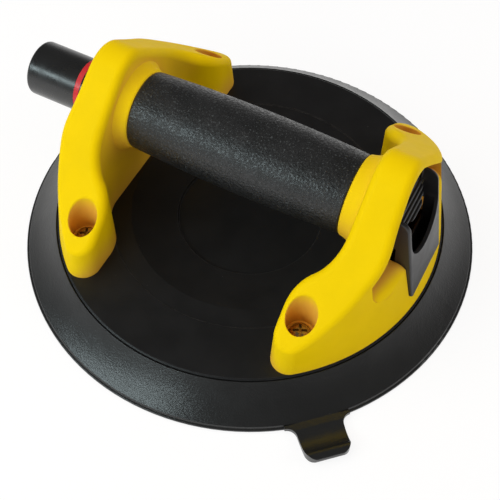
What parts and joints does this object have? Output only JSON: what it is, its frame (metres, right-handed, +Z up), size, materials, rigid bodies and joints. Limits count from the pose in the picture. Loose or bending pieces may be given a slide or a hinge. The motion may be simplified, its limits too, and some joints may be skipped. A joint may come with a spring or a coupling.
{
  "type": "pump-action suction lifter",
  "caption": "Round rubber suction cup under a stiff disc, lifted by a bar grip between two moulded brackets; a pump plunger and a release lever sit in line with the grip.",
  "frame": {"origin": "middle of the cup's sealing face, on the cup's own axis", "axes": "+X along the grip towards the release lever, -X towards the pump plunger, +Z up through the grip, +Y across the grip away from the pull tab's side"},
  "size_m": [0.2049, 0.2026, 0.0812],
  "materials": {
    "cup_rubber": "satin moulded rubber with fine grain",
    "black_plastic": "fine textured black plastic",
    "yellow_plastic": "satin yellow moulded plastic",
    "grip_rubber": "soft grip rubber with a fine sparkling grain",
    "plunger_plastic": "semi-gloss black plastic",
    "red_ring": "red warning ring",
    "screw_steel": "passivated steel",
    "brass": "turned brass",
    "barrel_aluminium": "drawn tube",
    "seal_rubber": "black nitrile",
    "spring_steel": "spring wire",
    "filter_felt": "white felt"
  },
  "bodies": {
    "frame": {"rubber_cup": "cup_rubber", "base_disc": "black_plastic", "pump_bracket": "yellow_plastic", "release_bracket": "yellow_plastic", "bracket_screws": "screw_steel", "threaded_inserts": "brass", "grip_sleeve": "grip_rubber", "pump_barrel": "barrel_aluminium", "guide_bush": "black_plastic", "wiper_ring": "seal_rubber", "stop_sleeve": "black_plastic", "return_spring": "spring_steel", "cylinder_head": "black_plastic", "head_seal": "seal_rubber", "check_valve": "seal_rubber", "valve_body": "black_plastic", "body_seal": "seal_rubber", "release_spring": "spring_steel", "air_tube": "seal_rubber", "cup_fitting": "brass", "fitting_nut": "brass", "filter_disc": "filter_felt", "release_guard": "black_plastic", "lever_pin": "screw_steel"},
    "pump_rod": {"plunger": "plunger_plastic", "indicator_ring": "red_ring", "piston": "black_plastic", "piston_seal": "seal_rubber", "exhaust_valve": "seal_rubber"},
    "lever": {"release_lever": "black_plastic"},
    "stem": {"valve_stem": "brass", "valve_seal": "seal_rubber"}
  },
  "joints": [
    {"name": "plunger_slide", "type": "slide", "parent": "frame", "child": "pump_rod", "axis": [1, 0, 0], "range_m": [0, 0.024], "stiffness_N_per_m": 180, "springref_m": -0.03, "deforming": ["return_spring"]},
    {"name": "lever_pivot", "type": "hinge", "parent": "frame", "child": "lever", "pos_m": [0.0689, 0, 0.0595], "axis": [0, 1, 0], "range_deg": [0, 12], "stiffness_Nm_per_rad": 0.05, "springref_deg": -1.15},
    {"name": "valve_slide", "type": "slide", "parent": "frame", "child": "stem", "axis": [-1, 0, 0], "range_m": [0, 0.0017], "deforming": ["release_spring"]}
  ],
  "couplings": [
    {"joint": "lever_pivot", "follows": "valve_slide", "rad_per_m": 122}
  ]
}
